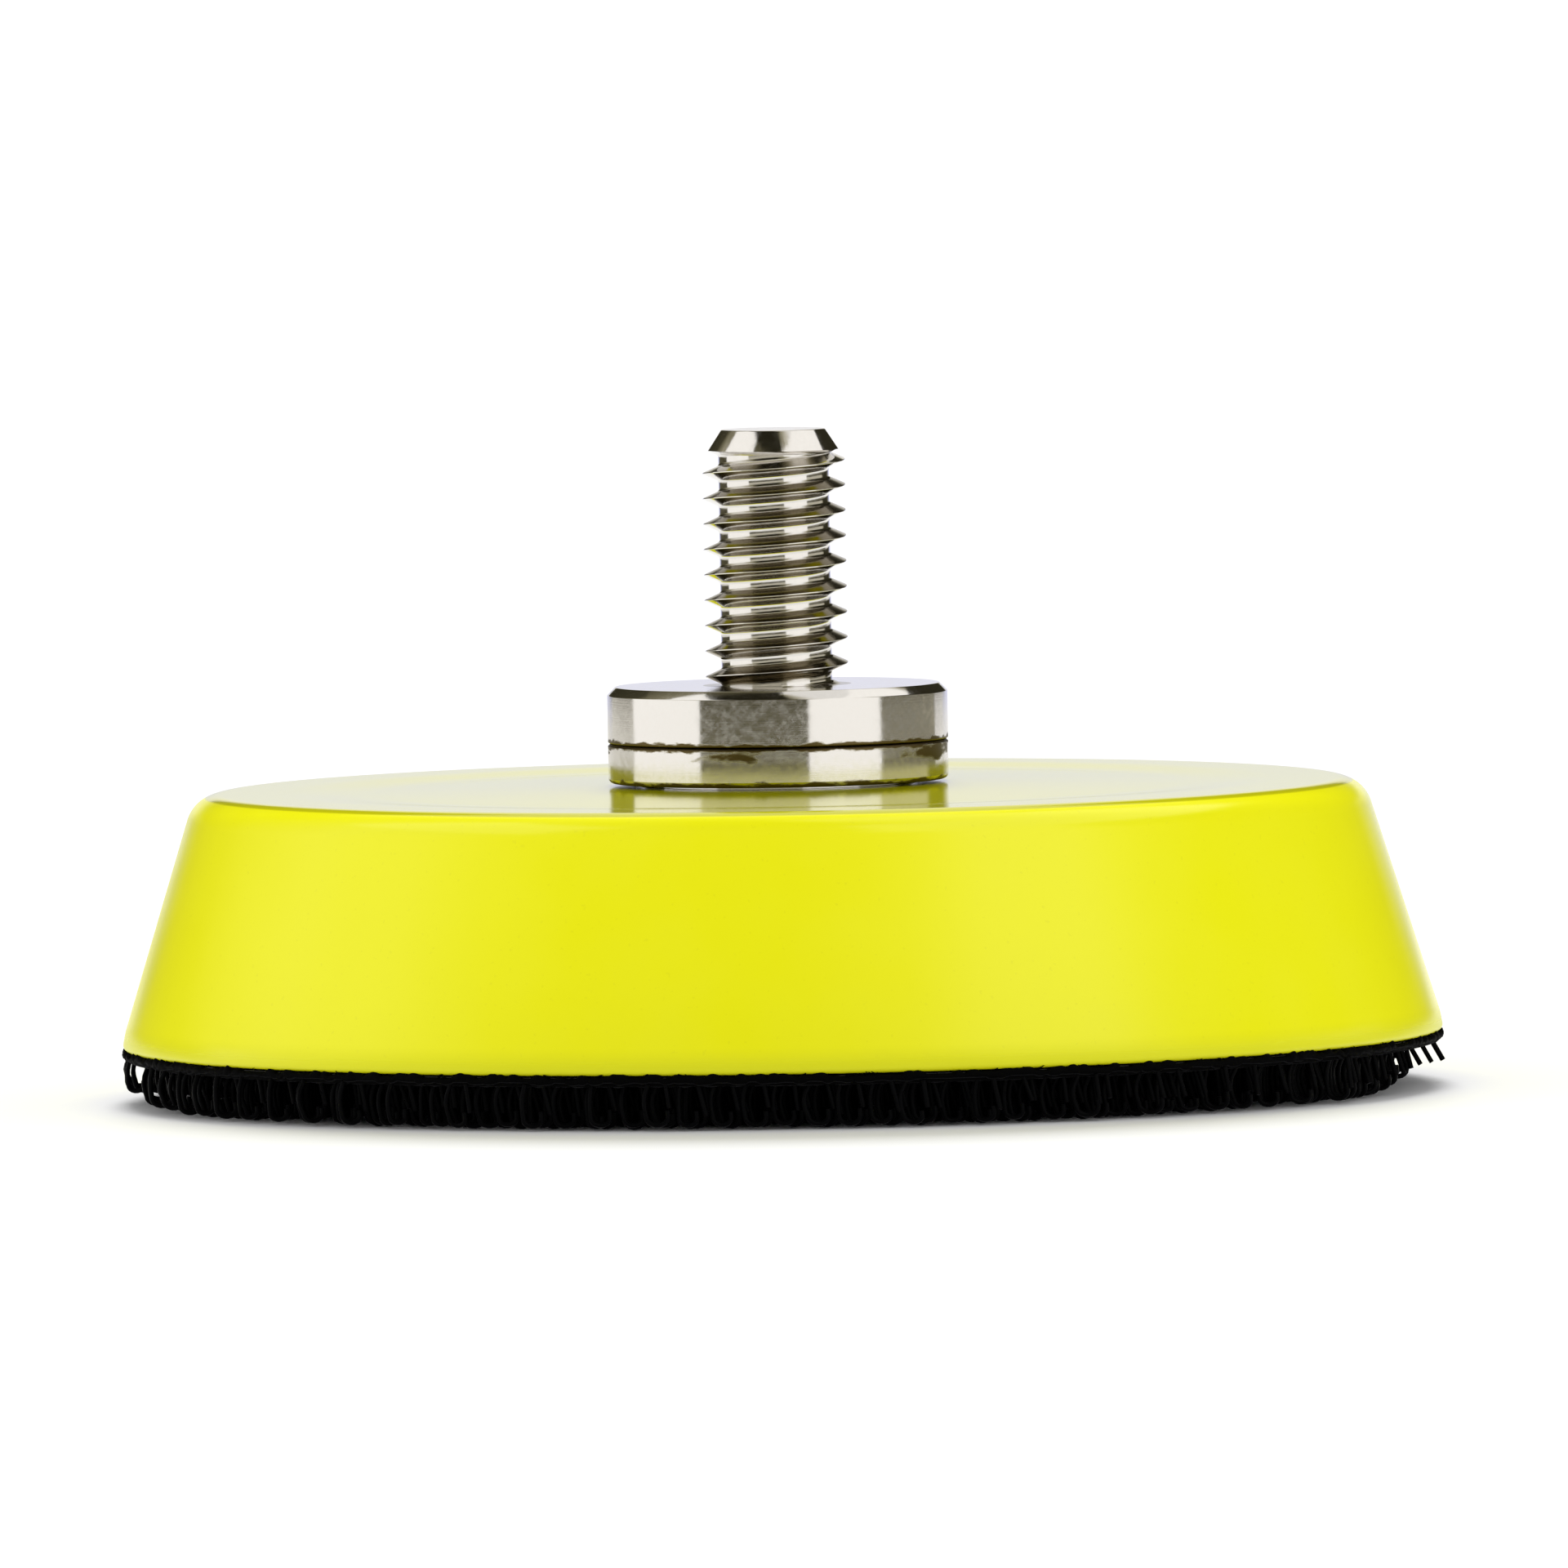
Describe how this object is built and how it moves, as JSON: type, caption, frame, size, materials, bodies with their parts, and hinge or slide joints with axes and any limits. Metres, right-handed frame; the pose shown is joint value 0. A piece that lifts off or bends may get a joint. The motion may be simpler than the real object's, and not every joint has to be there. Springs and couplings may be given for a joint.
{
  "type": "polisher backing pad",
  "caption": "Round tapered backing pad for a rotary polisher: threaded steel stud and collar, flexible moulded body and a hook face that grips polishing discs.",
  "frame": {"origin": "middle of the hook face, on the plane the pad stands on", "axes": "+Z along the stud, from the hook face to the threaded tip; X and Y are free, because the pad is round"},
  "size_m": [0.0734, 0.0734, 0.0369],
  "materials": {
    "polished_steel": "polished steel with fine turning marks",
    "rivet_steel": "zinc-plated steel",
    "glass_laminate": "woven glass and epoxy laminate",
    "yellow_polyurethane": "glossy skin of moulded polyurethane",
    "adhesive": "thin film of cured adhesive",
    "black_weave": "woven nylon tape",
    "black_hooks": "nylon monofilament hooks"
  },
  "bodies": {
    "hub": {"threaded_stud": "polished_steel", "hub_insert": "polished_steel", "reinforcement_plate": "glass_laminate", "hub_rivet_1": "rivet_steel", "hub_rivet_2": "rivet_steel", "hub_rivet_3": "rivet_steel", "hub_rivet_4": "rivet_steel", "hub_rivet_5": "rivet_steel", "hub_rivet_6": "rivet_steel", "pu_body": "yellow_polyurethane"},
    "face": {"adhesive_disc": "adhesive", "hook_tape": "black_weave", "hook_pile": "black_hooks"}
  },
  "joints": [
    {"name": "face_press", "type": "slide", "parent": "hub", "child": "face", "axis": [0, 0, 1], "range_m": [0, 0.0012], "stiffness_N_per_m": 20000, "deforming": ["pu_body"]}
  ]
}
